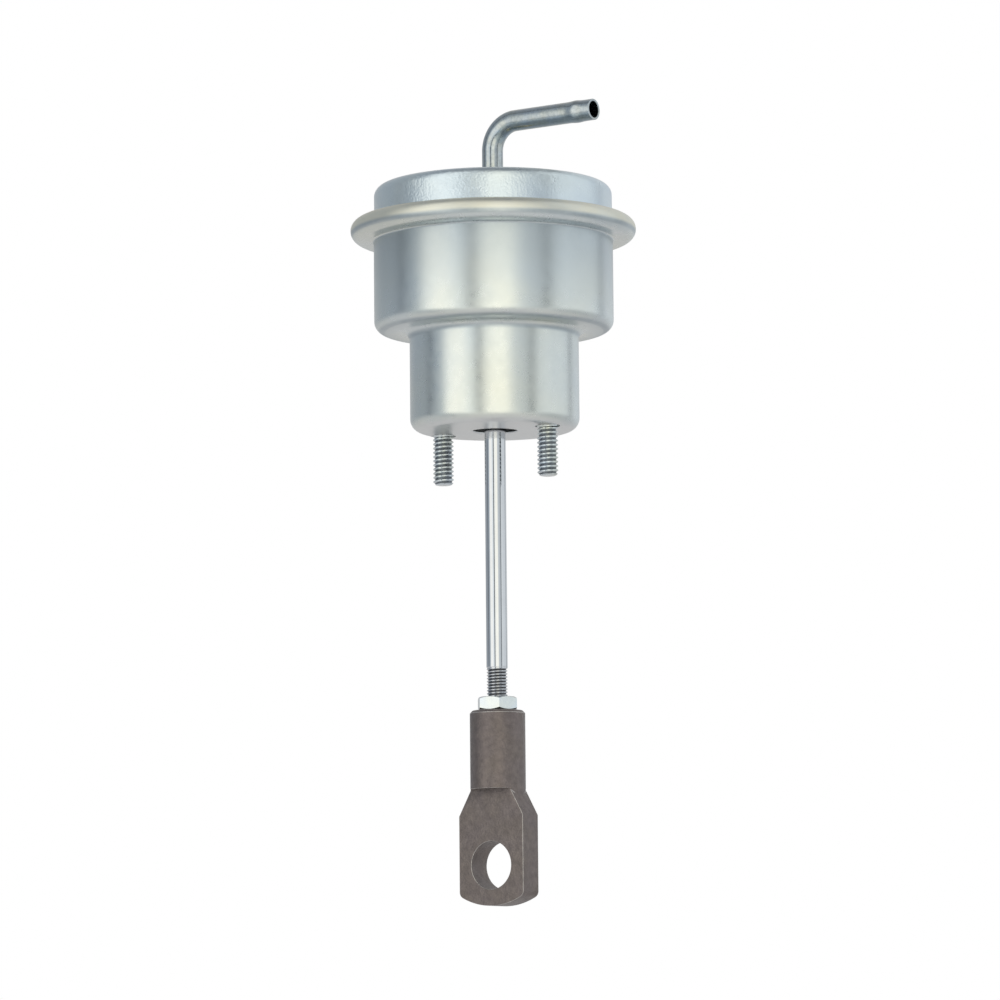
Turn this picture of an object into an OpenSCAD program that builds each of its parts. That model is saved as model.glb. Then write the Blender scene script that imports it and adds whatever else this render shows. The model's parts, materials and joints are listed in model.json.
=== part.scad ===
// Diaphragm actuator for a turbocharger wastegate.
// A stepped can drawn from sheet steel holds a spring, a piston and a rolling diaphragm.
// Air pressure from the hose pipe pushes the piston and its rod down against the spring.
// The origin is the centre of the can's mounting face, on the rod's axis.
// +Z points to the hose cover, +X along the line of the two studs.

/* [Can] */
// Thickness of the drawn sheet
sheet_t = 1; // [0.8:0.1:1.2]
// Outside diameter of the small lower body
small_od = 50.8; // [49.4:0.2:54]
// Height of the small body, from the mounting face to the step
small_h = 30; // [26:0.5:34]
// Outside diameter of the large body
large_od = 72; // [71:0.5:75]
// Height of the large body, from the step to the rim's underside
large_h = 27.7; // [26:0.1:34]
// Outside radius of the small body's bottom corner
floor_corner_r = 3; // [2:0.5:4]
// Outside radius of the large body's bottom corner
step_corner_r = 2.5; // [2:0.5:4]
// Radius of the hollow bend between the small body and the step
neck_bend_r = 2.5; // [1.5:0.5:3.5]
// Radius of the hollow bend under the rim
rim_bend_r = 0.8; // [0.6:0.1:2.5]
// Diameter of the hole that the rod swings in
rod_hole_d = 13.35; // [13:0.05:15]
// Diameter of the can's holes around the studs
stud_hole_d = 7.5; // [7:0.1:9]

/* [Rim and cover] */
// Width of the rolled rim, outside the can's wall
rim_w = 7; // [6.5:0.5:9]
// Width of the folded lip, from the rim's edge inwards
lip_w = 4.6; // [3.5:0.1:5]
// Step from the can's wall in to the cover's wall
cover_inset = 0.15; // [0:0.05:2]
// Height of the cover's top above the rim's underside
cover_h = 16.6; // [15:0.1:20]
// Outside radius of the cover's top edge
cover_edge_r = 3; // [1.5:0.5:4]
// Radius of the hollow bend at the foot of the cover's wall
cover_bend_r = 1; // [0.5:0.1:1.4]

/* [Hose pipe] */
// Outside diameter of the pipe
pipe_od = 6.35; // [6:0.05:8]
// Wall of the pipe
pipe_wall = 0.7; // [0.5:0.1:1]
// Height of the pipe's level leg above the cover
pipe_rise = 19.4; // [15:0.1:30]
// Distance from the rod's axis to the pipe's mouth
pipe_reach = 37; // [26:0.5:50]
// Radius of the pipe's bend, at its centre line
pipe_bend_r = 8.5; // [6:0.5:12]
// Length of pipe inside the cover
pipe_tuck = 1; // [0.5:0.1:1.5]
// Height of the hose bead above the pipe's surface
bead_h = 0.35; // [0.2:0.05:0.6]
// Distance from the mouth to the middle of the hose bead
bead_back = 6; // [5:0.5:10]
// Radius of the braze fillet at the pipe's foot
braze_r = 1.6; // [1:0.1:3]

/* [Studs] */
// Distance between the studs
stud_pitch = 38.1; // [37:0.1:39]
// Major diameter of a stud
stud_d = 6.35; // [6:0.05:6.5]
// Length of a stud below the mounting face
stud_out = 14.9; // [12:0.1:25]
// Diameter of a stud's flat head
stud_head_d = 9.5; // [8.5:0.5:10]
// Thickness of a stud's flat head
stud_head_t = 1.5; // [1:0.1:1.8]
// Thickness of the plate that carries the studs
plate_t = 3; // [2.6:0.1:4]
// Diameter of the hole in the middle of the plate
plate_hole_d = 16; // [15:0.5:20]
// Chamfer at a stud's tip
stud_tip = 0.8; // [0.4:0.1:1.2]
// Diameter of a stud's pressed neck, above the mounting face
stud_neck_d = 6.8; // [6.6:0.1:7]

/* [Spring] */
// Diameter of the spring wire
wire_d = 3.2; // [2.6:0.1:3.4]
// Mean diameter of the spring's coils
coil_d = 41; // [39:0.5:42]
// Number of open coils
open_turns = 5; // [4:1:6]
// Height of the collar that centres the spring's foot
seat_collar_h = 4.4; // [3:0.2:6]
// Thickness of the sheet in the spring's seat and guide
seat_t = 0.8; // [0.6:0.1:1]

/* [Diaphragm and piston] */
// Thickness of the diaphragm
diaphragm_t = 0.6; // [0.5:0.05:0.8]
// Height of the diaphragm's edge bead, clamped in the rolled rim
edge_bead_t = 3.4; // [1.5:0.1:4]
// Outside diameter of the piston
piston_od = 59; // [57:0.5:60]
// Outside radius of the piston's top edge
piston_edge_r = 2.5; // [2:0.25:3]
// Height of the diaphragm's fold above the piston's lower edge, at rest
fold_h = 8.5; // [8:0.5:9]
// Diameter of the retainer plate
retainer_d = 53; // [48:0.5:53]
// Height of the retainer's turned-up edge
retainer_edge_h = 3; // [2.6:0.1:3.4]
// Thickness of the washer under the riveted hub
washer_t = 0.8; // [0.6:0.1:1]
// Diameter of the washer under the riveted hub
washer_d = 22; // [21:0.5:26]
// Gap between the hub's riveted rim and the pipe's inner end, at rest
rest_gap = 4.7; // [4.3:0.1:5.3]

/* [Ball joint] */
// Diameter of the rod's ball
ball_d = 10; // [9:0.1:10.4]
// Radial clearance between the ball and its seat
ball_clear = 0.06; // [0.05:0.01:0.1]
// Depth of the ball's centre below the piston's crown
ball_drop = 7; // [6.6:0.1:8]
// Outside diameter of the hub
hub_d = 16; // [15:0.5:18]
// Diameter of the hub's flange
hub_flange_d = 22; // [20:0.5:24]
// Thickness of the hub's flange
hub_flange_t = 2; // [1.5:0.1:2.5]
// Height of the hub's riveted rim
rivet_t = 1.2; // [1:0.1:1.4]
// Width of the riveted rim outside the hub
rivet_w = 1.4; // [1:0.1:2]
// Length of the hub below the ball's centre
hub_skirt = 7; // [6:0.5:9]
// Thickness of the plug's head
plug_head_t = 1.4; // [1.2:0.1:1.6]
// Section of the plug's seal ring
seal_d = 1.4; // [1:0.1:1.5]

/* [Rod and rod end] */
// Diameter of the rod
rod_d = 6.35; // [6:0.05:6.5]
// Length of the rod below the mounting face
rod_out = 106; // [100:1:107]
// Distance from the mounting face to the lock nut
nut_drop = 79.8; // [70:0.1:82]
// Width of the lock nut across its flats
nut_af = 11.11; // [10:0.01:13]
// Thickness of the lock nut
nut_t = 3.97; // [3:0.01:5]
// Angle of the lock nut about the rod, at rest
nut_angle = 10; // [0:5:60]
// Diameter of the rod end's neck
neck_d = 16.5; // [15:0.1:17]
// Length of the neck, from the nut to the ledge over the flat block
neck_len = 23.4; // [21:0.2:30]
// Thickness of the flat block
block_t = 8; // [7:0.2:10]
// Width of the flat block
block_w = 23; // [21:0.2:26]
// Height of the block's sloping shoulders
shoulder_h = 7.6; // [6:0.2:10]
// Distance from the ledge to the middle of the eye
eye_drop = 22.6; // [21:0.2:26]
// Diameter of the eye
eye_d = 14.3; // [12:0.1:15]
// Distance from the middle of the eye to the block's end
eye_end = 12; // [11:0.2:14]
// Radius of the block's rounded end
end_r = 23; // [20:0.5:40]
// Radius of the block's end corners
end_corner_r = 2; // [1:0.5:3]

/* [Motion] */
// Travel of the piston and rod
stroke = 12; // [8:0.5:12]
// Gap between the piston and the can's step at full travel
stop_gap = 0.5; // [0.3:0.1:1]
// Swing of the rod to each side
swing = 3; // [2:0.5:3]

/* [Hidden] */

$fn = 96;

// Clearances between pieces.
slip = 0.05;      // radial, between a piece and the hole that it goes through
press_gap = 0.02; // radial, between a pressed piece and its hole
lay_gap = 0.1;    // between the diaphragm and the walls that it lies on
face_gap = 0.1;   // between the lock nut and the rod end
guide_gap = 0.5;  // radial, between the spring and what centres it
swing_gap = 0.3;  // radial, between the rod at full swing and the hub
coil_gap = 0.1;   // between the closed coils at each end of the spring
corner_gap = 1;   // radial, between the studs' plate and the can's bottom corner
over = 1;         // how far a cutter runs past what it cuts

// Can.
small_r = small_od / 2;
large_r = large_od / 2;
rim_z = small_h + large_h;
step_z = small_h + sheet_t;
rim_h = 3 * sheet_t + edge_bead_t;
roll_r = rim_h / 2;
rim_r = large_r + rim_w;
roll_x = rim_r - roll_r;

// Cover and pipe.
cover_r = large_r - cover_inset;
cover_flange_z = rim_z + sheet_t + edge_bead_t;
cover_top_z = rim_z + cover_h;
pipe_r = pipe_od / 2;
pipe_foot_z = cover_top_z - sheet_t - pipe_tuck;
leg_z = cover_top_z + pipe_rise;
bead_arc_r = 1.2; // radius of the bead's section

// Stack of pieces that the hub clamps, from the top down.
hub_top_z = pipe_foot_z - rest_gap;
washer_z = hub_top_z - rivet_t - washer_t;
retainer_z = washer_z - sheet_t;
crown_z = retainer_z - diaphragm_t;
crown_under_z = crown_z - sheet_t;
guide_z = crown_under_z - seat_t;
hub_flange_z = guide_z - hub_flange_t;
hub_r = hub_d / 2;

// Piston and diaphragm.
piston_r = piston_od / 2;
piston_foot_z = step_z + stroke + stop_gap;
fold_z = piston_foot_z + fold_h;
fold_in_r = piston_r + lay_gap;
fold_out_r = large_r - sheet_t - lay_gap;

// Rod and ball joint.
rod_r = rod_d / 2;
ball_z = crown_z - ball_drop;
ball_r = ball_d / 2;
seat_r = ball_r + ball_clear;
hub_foot_z = ball_z - hub_skirt;
hub_throat_r = rod_r / cos(swing) + hub_skirt * tan(swing) + swing_gap;
plug_rise = 0.2;      // height of the plug's top above the foot of the riveted rim
plug_shoulder = 1.1;  // width of the plug's head outside its stem
stem_lift = 1.5;      // height of the plug's stem above the ball's centre
plug_seat_z = hub_top_z - rivet_t - plug_head_t + plug_rise;
plug_head_r = seat_r + plug_shoulder;
seal_z = (ball_z + seat_r + plug_seat_z) / 2;
seal_groove_r = seat_r - seal_d;

// Studs and their plate.
stud_r = stud_d / 2;
stud_x = stud_pitch / 2;
plate_z = sheet_t;
plate_top_z = plate_z + plate_t;
plate_r = small_r - floor_corner_r - corner_gap;

// Spring.
wire_r = wire_d / 2;
coil_r = coil_d / 2;
coil_foot_z = plate_top_z + seat_t;
coil_h = crown_under_z - coil_foot_z;
centring_r = coil_r - wire_r - guide_gap;
coil_tip = wire_d / 8;
closed_pitch = wire_d + coil_gap;
coil_turns = open_turns + 2;
open_pitch = (coil_h - 2 * coil_tip - 2 * closed_pitch) / open_turns;
coil_steps = 20;
wire_sides = 8;

// Rod end.
neck_r = neck_d / 2;
neck_z = -(nut_drop + nut_t + face_gap);
ledge_z = neck_z - neck_len;
ledge_x = sqrt(neck_r * neck_r - block_t * block_t / 4);
eye_z = ledge_z - eye_drop;
block_foot_z = eye_z - eye_end;
block_x = block_w / 2;
tap_run = 3;   // depth of the tapped hole below the rod's end
ledge_run = 2; // least depth of the tapped hole below the ledge
rod_seat_z = min(-rod_out - tap_run, ledge_z - ledge_run);
root_h = 0.6;  // depth that the shoulders' slope is carried on inside the neck
corner_steps = 6;
end_steps = 20;

// Colours.
zinc = [0.76, 0.80, 0.82];
pale_zinc = [0.82, 0.86, 0.89];
bright_steel = [0.72, 0.73, 0.75];
spring_steel = [0.36, 0.37, 0.40];
brass_filler = [0.73, 0.66, 0.48];
black_rubber = [0.10, 0.10, 0.11];
phosphate = [0.41, 0.37, 0.35];

// Quarter of a bent sheet, in the plane of a turned profile. Quadrant 0 is +X+Y, then anticlockwise.
module bend(r_in, t, quadrant) {
    intersection() {
        difference() {
            circle(r_in + t);
            circle(r_in);
        }
        rotate(90 * quadrant) square(r_in + t);
    }
}

// Straight stretch of sheet between two corners of a turned profile.
module strip(x0, y0, x1, y1) {
    translate([x0, y0]) square([x1 - x0, y1 - y0]);
}

// Flat ring with true cylinder walls.
module ring(r_out, r_in, z0, z1) {
    translate([0, 0, z0]) difference() {
        cylinder(h = z1 - z0, r = r_out);
        translate([0, 0, -over]) cylinder(h = z1 - z0 + 2 * over, r = r_in);
    }
}

// Section of the lower can, from the rod hole out to the lip folded over the cover's flange.
module lower_can_profile() {
    strip(rod_hole_d / 2, 0, small_r - floor_corner_r, sheet_t);
    translate([small_r - floor_corner_r, floor_corner_r]) bend(floor_corner_r - sheet_t, sheet_t, 3);
    strip(small_r - sheet_t, floor_corner_r, small_r, small_h - neck_bend_r);
    translate([small_r + neck_bend_r, small_h - neck_bend_r]) bend(neck_bend_r, sheet_t, 1);
    strip(small_r + neck_bend_r, small_h, large_r - step_corner_r, step_z);
    translate([large_r - step_corner_r, small_h + step_corner_r]) bend(step_corner_r - sheet_t, sheet_t, 3);
    strip(large_r - sheet_t, small_h + step_corner_r, large_r, rim_z - rim_bend_r);
    translate([large_r + rim_bend_r, rim_z - rim_bend_r]) bend(rim_bend_r, sheet_t, 1);
    strip(large_r + rim_bend_r, rim_z, roll_x, rim_z + sheet_t);
    translate([roll_x, rim_z + roll_r]) {
        bend(roll_r - sheet_t, sheet_t, 3);
        bend(roll_r - sheet_t, sheet_t, 0);
    }
    strip(rim_r - lip_w, rim_z + rim_h - sheet_t, roll_x, rim_z + rim_h);
    translate([rim_r - lip_w, rim_z + rim_h - sheet_t / 2]) circle(sheet_t / 2);
}

module lower_can() {
    color(zinc) difference() {
        rotate_extrude() lower_can_profile();
        for (side = [-1, 1])
            translate([side * stud_x, 0, -over]) cylinder(h = sheet_t + 2 * over, d = stud_hole_d);
    }
}

// Section of the cover: a cap with a flange that the can's rim is folded over.
module upper_cover_profile() {
    wall_foot_z = cover_flange_z + sheet_t + cover_bend_r;
    strip(cover_r + cover_bend_r, cover_flange_z, roll_x, cover_flange_z + sheet_t);
    translate([cover_r + cover_bend_r, wall_foot_z]) bend(cover_bend_r, sheet_t, 2);
    strip(cover_r - sheet_t, wall_foot_z, cover_r, cover_top_z - cover_edge_r);
    translate([cover_r - cover_edge_r, cover_top_z - cover_edge_r])
        bend(cover_edge_r - sheet_t, sheet_t, 0);
    strip(pipe_r + press_gap, cover_top_z - sheet_t, cover_r - cover_edge_r, cover_top_z);
}

module upper_cover() {
    color(pale_zinc) rotate_extrude() upper_cover_profile();
}

// Solid run of the bent pipe, lengthened by extra past both ends.
module pipe_run(r, extra) {
    translate([0, 0, pipe_foot_z - extra]) cylinder(h = leg_z - pipe_bend_r - pipe_foot_z + extra, r = r);
    translate([pipe_bend_r, 0, leg_z - pipe_bend_r]) rotate([90, 0, 0]) rotate([0, 0, 90])
        rotate_extrude(angle = 90) translate([pipe_bend_r, 0]) circle(r);
    translate([pipe_bend_r, 0, leg_z]) rotate([0, 90, 0])
        cylinder(h = pipe_reach - pipe_bend_r + extra, r = r);
}

// Low round bead that keeps the hose on.
module hose_bead() {
    translate([pipe_reach - bead_back, 0, leg_z]) rotate([0, 90, 0])
        rotate_extrude() translate([pipe_r + bead_h - bead_arc_r, 0]) circle(bead_arc_r);
}

module hose_pipe() {
    color(zinc) difference() {
        union() {
            pipe_run(pipe_r, 0);
            hose_bead();
        }
        pipe_run(pipe_r - pipe_wall, over);
    }
}

// Hollow fillet of filler metal between the cover and the pipe.
module pipe_braze() {
    color(brass_filler) rotate_extrude() difference() {
        translate([pipe_r + press_gap, cover_top_z]) square(braze_r);
        translate([pipe_r + press_gap + braze_r, cover_top_z + braze_r]) circle(braze_r);
    }
}

// Plate welded to the can's floor, with the studs' heads let into its top.
module stud_plate() {
    color(zinc) difference() {
        ring(plate_r, plate_hole_d / 2, plate_z, plate_top_z);
        for (side = [-1, 1]) translate([side * stud_x, 0, 0]) {
            cylinder(h = plate_top_z + over, r = stud_neck_d / 2 + press_gap);
            translate([0, 0, plate_top_z - stud_head_t])
                cylinder(h = stud_head_t + over, r = stud_head_d / 2 + slip);
        }
    }
}

module mounting_stud(side) {
    color(bright_steel) translate([side * stud_x, 0, 0]) {
        translate([0, 0, plate_top_z - stud_head_t]) cylinder(h = stud_head_t, d = stud_head_d);
        cylinder(h = plate_top_z - stud_head_t, d = stud_neck_d);
        translate([0, 0, stud_tip - stud_out]) cylinder(h = stud_out - stud_tip, r = stud_r);
        translate([0, 0, -stud_out]) cylinder(h = stud_tip, r1 = stud_r - stud_tip, r2 = stud_r);
    }
}

module mounting_stud_1() {
    mounting_stud(-1);
}

module mounting_stud_2() {
    mounting_stud(1);
}

// Pressed ring under the spring, with a collar that centres the first coil.
module spring_seat() {
    corner_r = 1.5 * seat_t;
    color(zinc) rotate_extrude() {
        strip(centring_r - seat_t + corner_r, plate_top_z, small_r - sheet_t - guide_gap, coil_foot_z);
        translate([centring_r - seat_t + corner_r, plate_top_z + corner_r]) bend(corner_r - seat_t, seat_t, 2);
        strip(centring_r - seat_t, plate_top_z + corner_r, centring_r, coil_foot_z + seat_collar_h);
    }
}

// Height of the wire's centre above the spring's foot, a number of turns along the coil.
function wire_z(turn) =
    turn < 1 ? coil_tip + turn * closed_pitch :
    turn > coil_turns - 1 ? coil_h - coil_tip - (coil_turns - turn) * closed_pitch :
    coil_tip + closed_pitch + (turn - 1) * open_pitch;

// Point on the wire's surface. The end coils are ground flat at the spring's foot and head.
function wire_point(step, side) =
    let (turn = step / coil_steps)
    let (r = coil_r + wire_r * cos(360 * side / wire_sides))
    let (z = wire_z(turn) + wire_r * sin(360 * side / wire_sides))
    [r * cos(360 * turn), r * sin(360 * turn), min(coil_h, max(0, z))];

module return_spring() {
    last = coil_turns * coil_steps;
    top_side = wire_sides / 4;
    points = [for (i = [0:last]) for (j = [0:wire_sides - 1]) wire_point(i, j)];
    wrap = function (i, j) i * wire_sides + j % wire_sides;
    lower = [for (i = [0:last - 1]) for (j = [0:wire_sides - 1])
        [wrap(i, j), wrap(i, j + 1), wrap(i + 1, j)]];
    upper = [for (i = [0:last - 1]) for (j = [0:wire_sides - 1])
        [wrap(i, j + 1), wrap(i + 1, j + 1), wrap(i + 1, j)]];
    foot = [[for (j = [0:wire_sides - 1]) wrap(0, wire_sides + top_side - j)]];
    head = [[for (j = [0:wire_sides - 1]) wrap(last, wire_sides - top_side + j)]];
    color(spring_steel) translate([0, 0, coil_foot_z])
        polyhedron(points, concat(lower, upper, foot, head));
}

// Rolling diaphragm: edge bead clamped in the rim, down the can's wall, round the fold and over the crown.
module diaphragm_profile() {
    rim_bend_z = rim_z - rim_bend_r;
    wall_bend_r = rim_bend_r + sheet_t;
    fold_r = (fold_out_r - fold_in_r) / 2;
    translate([roll_x, rim_z + roll_r]) intersection() {
        circle(roll_r - sheet_t - lay_gap);
        translate([-roll_r, sheet_t - roll_r]) square([2 * roll_r, edge_bead_t]);
    }
    strip(large_r + rim_bend_r, rim_z + sheet_t, roll_x - lay_gap, rim_z + sheet_t + diaphragm_t);
    translate([large_r + rim_bend_r, rim_bend_z]) bend(wall_bend_r, diaphragm_t, 1);
    strip(fold_out_r - diaphragm_t, fold_z, large_r - sheet_t, rim_bend_z);
    translate([fold_in_r + fold_r, fold_z]) {
        bend(fold_r - diaphragm_t, diaphragm_t, 2);
        bend(fold_r - diaphragm_t, diaphragm_t, 3);
    }
    strip(fold_in_r, fold_z, fold_in_r + diaphragm_t, crown_z - piston_edge_r);
    translate([piston_r - piston_edge_r, crown_z - piston_edge_r])
        bend(piston_edge_r, diaphragm_t + lay_gap, 0);
    strip(hub_r + slip, crown_z, piston_r - piston_edge_r, crown_z + diaphragm_t);
}

module diaphragm() {
    color(black_rubber) rotate_extrude() diaphragm_profile();
}

// Deep-drawn piston, open below, with a rounded lower edge.
module piston() {
    color(zinc) rotate_extrude() {
        strip(hub_r + slip, crown_under_z, piston_r - piston_edge_r, crown_z);
        translate([piston_r - piston_edge_r, crown_z - piston_edge_r])
            bend(piston_edge_r - sheet_t, sheet_t, 0);
        strip(piston_r - sheet_t, piston_foot_z + sheet_t / 2, piston_r, crown_z - piston_edge_r);
        translate([piston_r - sheet_t / 2, piston_foot_z + sheet_t / 2]) circle(sheet_t / 2);
    }
}

// Pressed plate under the crown, with a lip that centres the spring's last coil.
module spring_guide() {
    corner_r = 2 * seat_t;
    color(zinc) rotate_extrude() {
        strip(hub_r + slip, guide_z, centring_r - corner_r, crown_under_z);
        translate([centring_r - corner_r, crown_under_z - corner_r]) bend(corner_r - seat_t, seat_t, 0);
        strip(centring_r - seat_t, crown_under_z - seat_collar_h, centring_r, crown_under_z - corner_r);
    }
}

// Plate that holds the diaphragm on the crown, with its edge turned up away from the rubber.
module diaphragm_retainer() {
    edge_r = 1.5 * sheet_t;
    retainer_r = retainer_d / 2;
    color(zinc) rotate_extrude() {
        strip(hub_r + slip, retainer_z, retainer_r - edge_r, washer_z);
        translate([retainer_r - edge_r, retainer_z + edge_r]) bend(edge_r - sheet_t, sheet_t, 3);
        strip(retainer_r - sheet_t, retainer_z + edge_r, retainer_r, retainer_z + retainer_edge_h - sheet_t / 2);
        translate([retainer_r - sheet_t / 2, retainer_z + retainer_edge_h - sheet_t / 2]) circle(sheet_t / 2);
    }
}

module rivet_washer() {
    color(bright_steel) ring(washer_d / 2, hub_r + slip, washer_z, washer_z + washer_t);
}

// Hub riveted through the piston, with the ball's seat inside and a rim rolled over the washer.
module rod_socket() {
    rivet_r = hub_r + rivet_w;
    color(bright_steel) difference() {
        union() {
            translate([0, 0, hub_foot_z]) cylinder(h = hub_top_z - hub_foot_z, r = hub_r);
            translate([0, 0, hub_flange_z]) cylinder(h = hub_flange_t, d = hub_flange_d);
            rotate_extrude() {
                strip(0, hub_top_z - rivet_t, rivet_r - rivet_t / 2, hub_top_z);
                translate([rivet_r - rivet_t / 2, hub_top_z - rivet_t / 2]) circle(rivet_t / 2);
            }
        }
        translate([0, 0, hub_foot_z - over]) cylinder(h = hub_skirt + over, r = hub_throat_r);
        translate([0, 0, ball_z]) sphere(seat_r);
        translate([0, 0, ball_z]) cylinder(h = hub_top_z - ball_z + over, r = seat_r);
        translate([0, 0, plug_seat_z]) cylinder(h = hub_top_z - plug_seat_z + over, r = plug_head_r + press_gap);
    }
}

// Plug that closes the socket above the ball, with a groove for its seal ring.
module socket_plug() {
    stem_foot_z = ball_z + stem_lift;
    color(bright_steel) difference() {
        union() {
            translate([0, 0, stem_foot_z]) cylinder(h = plug_seat_z - stem_foot_z, r = seat_r - slip);
            translate([0, 0, plug_seat_z]) cylinder(h = plug_head_t, r = plug_head_r);
        }
        translate([0, 0, ball_z]) sphere(seat_r);
        ring(seat_r + over, seal_groove_r, seal_z - seal_d / 2, seal_z + seal_d / 2);
    }
}

module plug_seal() {
    color(black_rubber) translate([0, 0, seal_z])
        rotate_extrude() translate([seat_r - seal_d / 2 - press_gap, 0]) circle(seal_d / 2 - press_gap);
}

// Section of the rod: a ball head, a plain shank and a chamfered end.
module rod_profile() {
    tip = rod_d / 8;
    intersection() {
        translate([0, ball_z]) circle(ball_r);
        strip(0, ball_z - ball_r, ball_r, ball_z + ball_r);
    }
    strip(0, tip - rod_out, rod_r, ball_z);
    polygon([[0, -rod_out], [rod_r - tip, -rod_out], [rod_r, tip - rod_out], [0, tip - rod_out]]);
}

module rod() {
    color(bright_steel) rotate_extrude() rod_profile();
}

// Hexagon nut with both faces chamfered round its corners.
module lock_nut() {
    corner_r = nut_af / sqrt(3);
    chamfer = nut_t / 8;
    face_r = nut_af / 2;
    color(pale_zinc) translate([0, 0, -nut_drop - nut_t]) difference() {
        intersection() {
            rotate([0, 0, nut_angle]) cylinder(h = nut_t, r = corner_r, $fn = 6);
            union() {
                cylinder(h = chamfer, r1 = face_r, r2 = corner_r + slip);
                translate([0, 0, chamfer]) cylinder(h = nut_t - 2 * chamfer, r = corner_r + slip);
                translate([0, 0, nut_t - chamfer]) cylinder(h = chamfer, r1 = corner_r + slip, r2 = face_r);
            }
        }
        translate([0, 0, -over]) cylinder(h = nut_t + 2 * over, r = rod_r + slip);
    }
}

// Points along an arc from one angle to another, both ends included.
function arc(centre, r, from, to, steps) =
    [for (i = [0:steps]) let (a = from + (to - from) * i / steps) centre + r * [cos(a), sin(a)]];

// Outline of the flat block: shoulders that slope out of the neck, straight sides and a round end.
module block_outline() {
    arc_z = block_foot_z + end_r;
    corner_x = block_x - end_corner_r;
    corner_z = arc_z - sqrt(pow(end_r - end_corner_r, 2) - corner_x * corner_x);
    touch = atan2(arc_z - corner_z, corner_x);
    end_step = (180 - 2 * touch) / end_steps;
    slope = (block_x - ledge_x) / shoulder_h;
    top_x = ledge_x - slope * root_h;
    top_z = ledge_z + root_h / 2;
    shoulder_z = ledge_z - shoulder_h - root_h / 2;
    polygon(concat(
        [[-top_x, top_z], [-block_x, shoulder_z]],
        arc([-corner_x, corner_z], end_corner_r, 180, 180 + touch, corner_steps),
        arc([0, arc_z], end_r, 180 + touch + end_step, 360 - touch - end_step, end_steps - 2),
        arc([corner_x, corner_z], end_corner_r, 360 - touch, 360, corner_steps),
        [[block_x, shoulder_z], [top_x, top_z]]
    ));
}

// Rod end: round threaded neck, cut below the ledge to a flat block with an eye through it.
module rod_end() {
    rim = 0.8;
    color(phosphate) difference() {
        union() {
            translate([0, 0, ledge_z]) cylinder(h = neck_len - rim, r = neck_r);
            translate([0, 0, neck_z - rim]) cylinder(h = rim, r1 = neck_r, r2 = neck_r - rim);
            rotate([90, 0, 0]) translate([0, 0, -block_t / 2]) linear_extrude(block_t) block_outline();
            intersection() {
                translate([0, 0, ledge_z - shoulder_h / 2]) cylinder(h = shoulder_h / 2, r = neck_r);
                translate([-neck_r, -block_t / 2, ledge_z - shoulder_h]) cube([neck_d, block_t, shoulder_h]);
            }
        }
        translate([0, 0, rod_seat_z]) cylinder(h = neck_z - rod_seat_z + over, r = rod_r + slip);
        translate([0, 0, eye_z]) rotate([90, 0, 0]) cylinder(h = block_t + 2 * over, d = eye_d, center = true);
    }
}

lower_can();
upper_cover();
hose_pipe();
pipe_braze();
stud_plate();
mounting_stud_1();
mounting_stud_2();
spring_seat();
return_spring();
diaphragm();
piston();
spring_guide();
diaphragm_retainer();
rivet_washer();
rod_socket();
socket_plug();
plug_seal();
rod();
lock_nut();
rod_end();
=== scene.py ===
"""Looks of a diaphragm wastegate actuator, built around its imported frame.

Lengths are in metres and angles in radians, unless a name says otherwise. The frame's +Z runs up the rod's
axis to the hose cover, and its origin is the centre of the mounting face.
"""
import json
import logging
import math
from dataclasses import dataclass
from enum import Enum
from typing import Sequence

import bpy
import numpy as np
from mathutils import Euler, Matrix, Vector


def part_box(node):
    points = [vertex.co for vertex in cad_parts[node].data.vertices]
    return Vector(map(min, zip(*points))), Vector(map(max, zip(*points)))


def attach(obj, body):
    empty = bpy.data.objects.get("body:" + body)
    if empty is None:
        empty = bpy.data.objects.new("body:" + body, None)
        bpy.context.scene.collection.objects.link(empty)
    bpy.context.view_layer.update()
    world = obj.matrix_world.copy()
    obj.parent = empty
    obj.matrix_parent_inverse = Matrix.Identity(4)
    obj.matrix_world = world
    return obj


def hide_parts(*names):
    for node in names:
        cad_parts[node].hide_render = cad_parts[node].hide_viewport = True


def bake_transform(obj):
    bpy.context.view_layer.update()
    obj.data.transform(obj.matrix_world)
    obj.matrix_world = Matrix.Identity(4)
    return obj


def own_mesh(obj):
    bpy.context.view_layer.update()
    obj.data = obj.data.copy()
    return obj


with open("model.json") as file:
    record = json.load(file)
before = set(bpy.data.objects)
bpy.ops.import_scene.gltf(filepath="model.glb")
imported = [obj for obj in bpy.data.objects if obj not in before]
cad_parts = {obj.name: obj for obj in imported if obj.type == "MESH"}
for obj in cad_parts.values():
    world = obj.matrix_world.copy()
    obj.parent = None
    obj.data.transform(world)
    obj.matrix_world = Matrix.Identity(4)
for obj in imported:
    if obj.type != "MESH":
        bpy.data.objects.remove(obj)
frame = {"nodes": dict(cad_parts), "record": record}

LOG = logging.getLogger("actuator")
MM = 0.001
SHARP = math.radians(35)
TURN = 2 * math.pi
QUARTER = math.pi / 2
CUTTER_STEPS = 96
END_STEPS = 6
FLOAT, VECTOR, COLOR = "NodeSocketFloat", "NodeSocketVector", "NodeSocketColor"
Rgb = tuple[float, float, float]
Array = np.ndarray
Piece = bpy.types.Object
Tree = bpy.types.NodeTree


class Body(Enum):
    """Rigid bodies that the pieces ride on."""

    CAN = "can"
    PISTON = "piston_set"
    ROD = "rod"
    NUT = "lock_nut"
    ROD_END = "rod_end"


def node_low(node: str) -> Vector:
    """Lowest corner of a CAD node at rest."""
    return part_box(node)[0]


def node_high(node: str) -> Vector:
    """Highest corner of a CAD node at rest."""
    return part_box(node)[1]


def mount(name: str) -> dict:
    """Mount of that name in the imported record."""
    return next(m for m in frame["record"]["mounts"] if m["name"] == name)


def full_turn(steps: int) -> Array:
    """Equal angles round a full turn."""
    return np.linspace(0, TURN, steps, endpoint=False)


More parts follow.
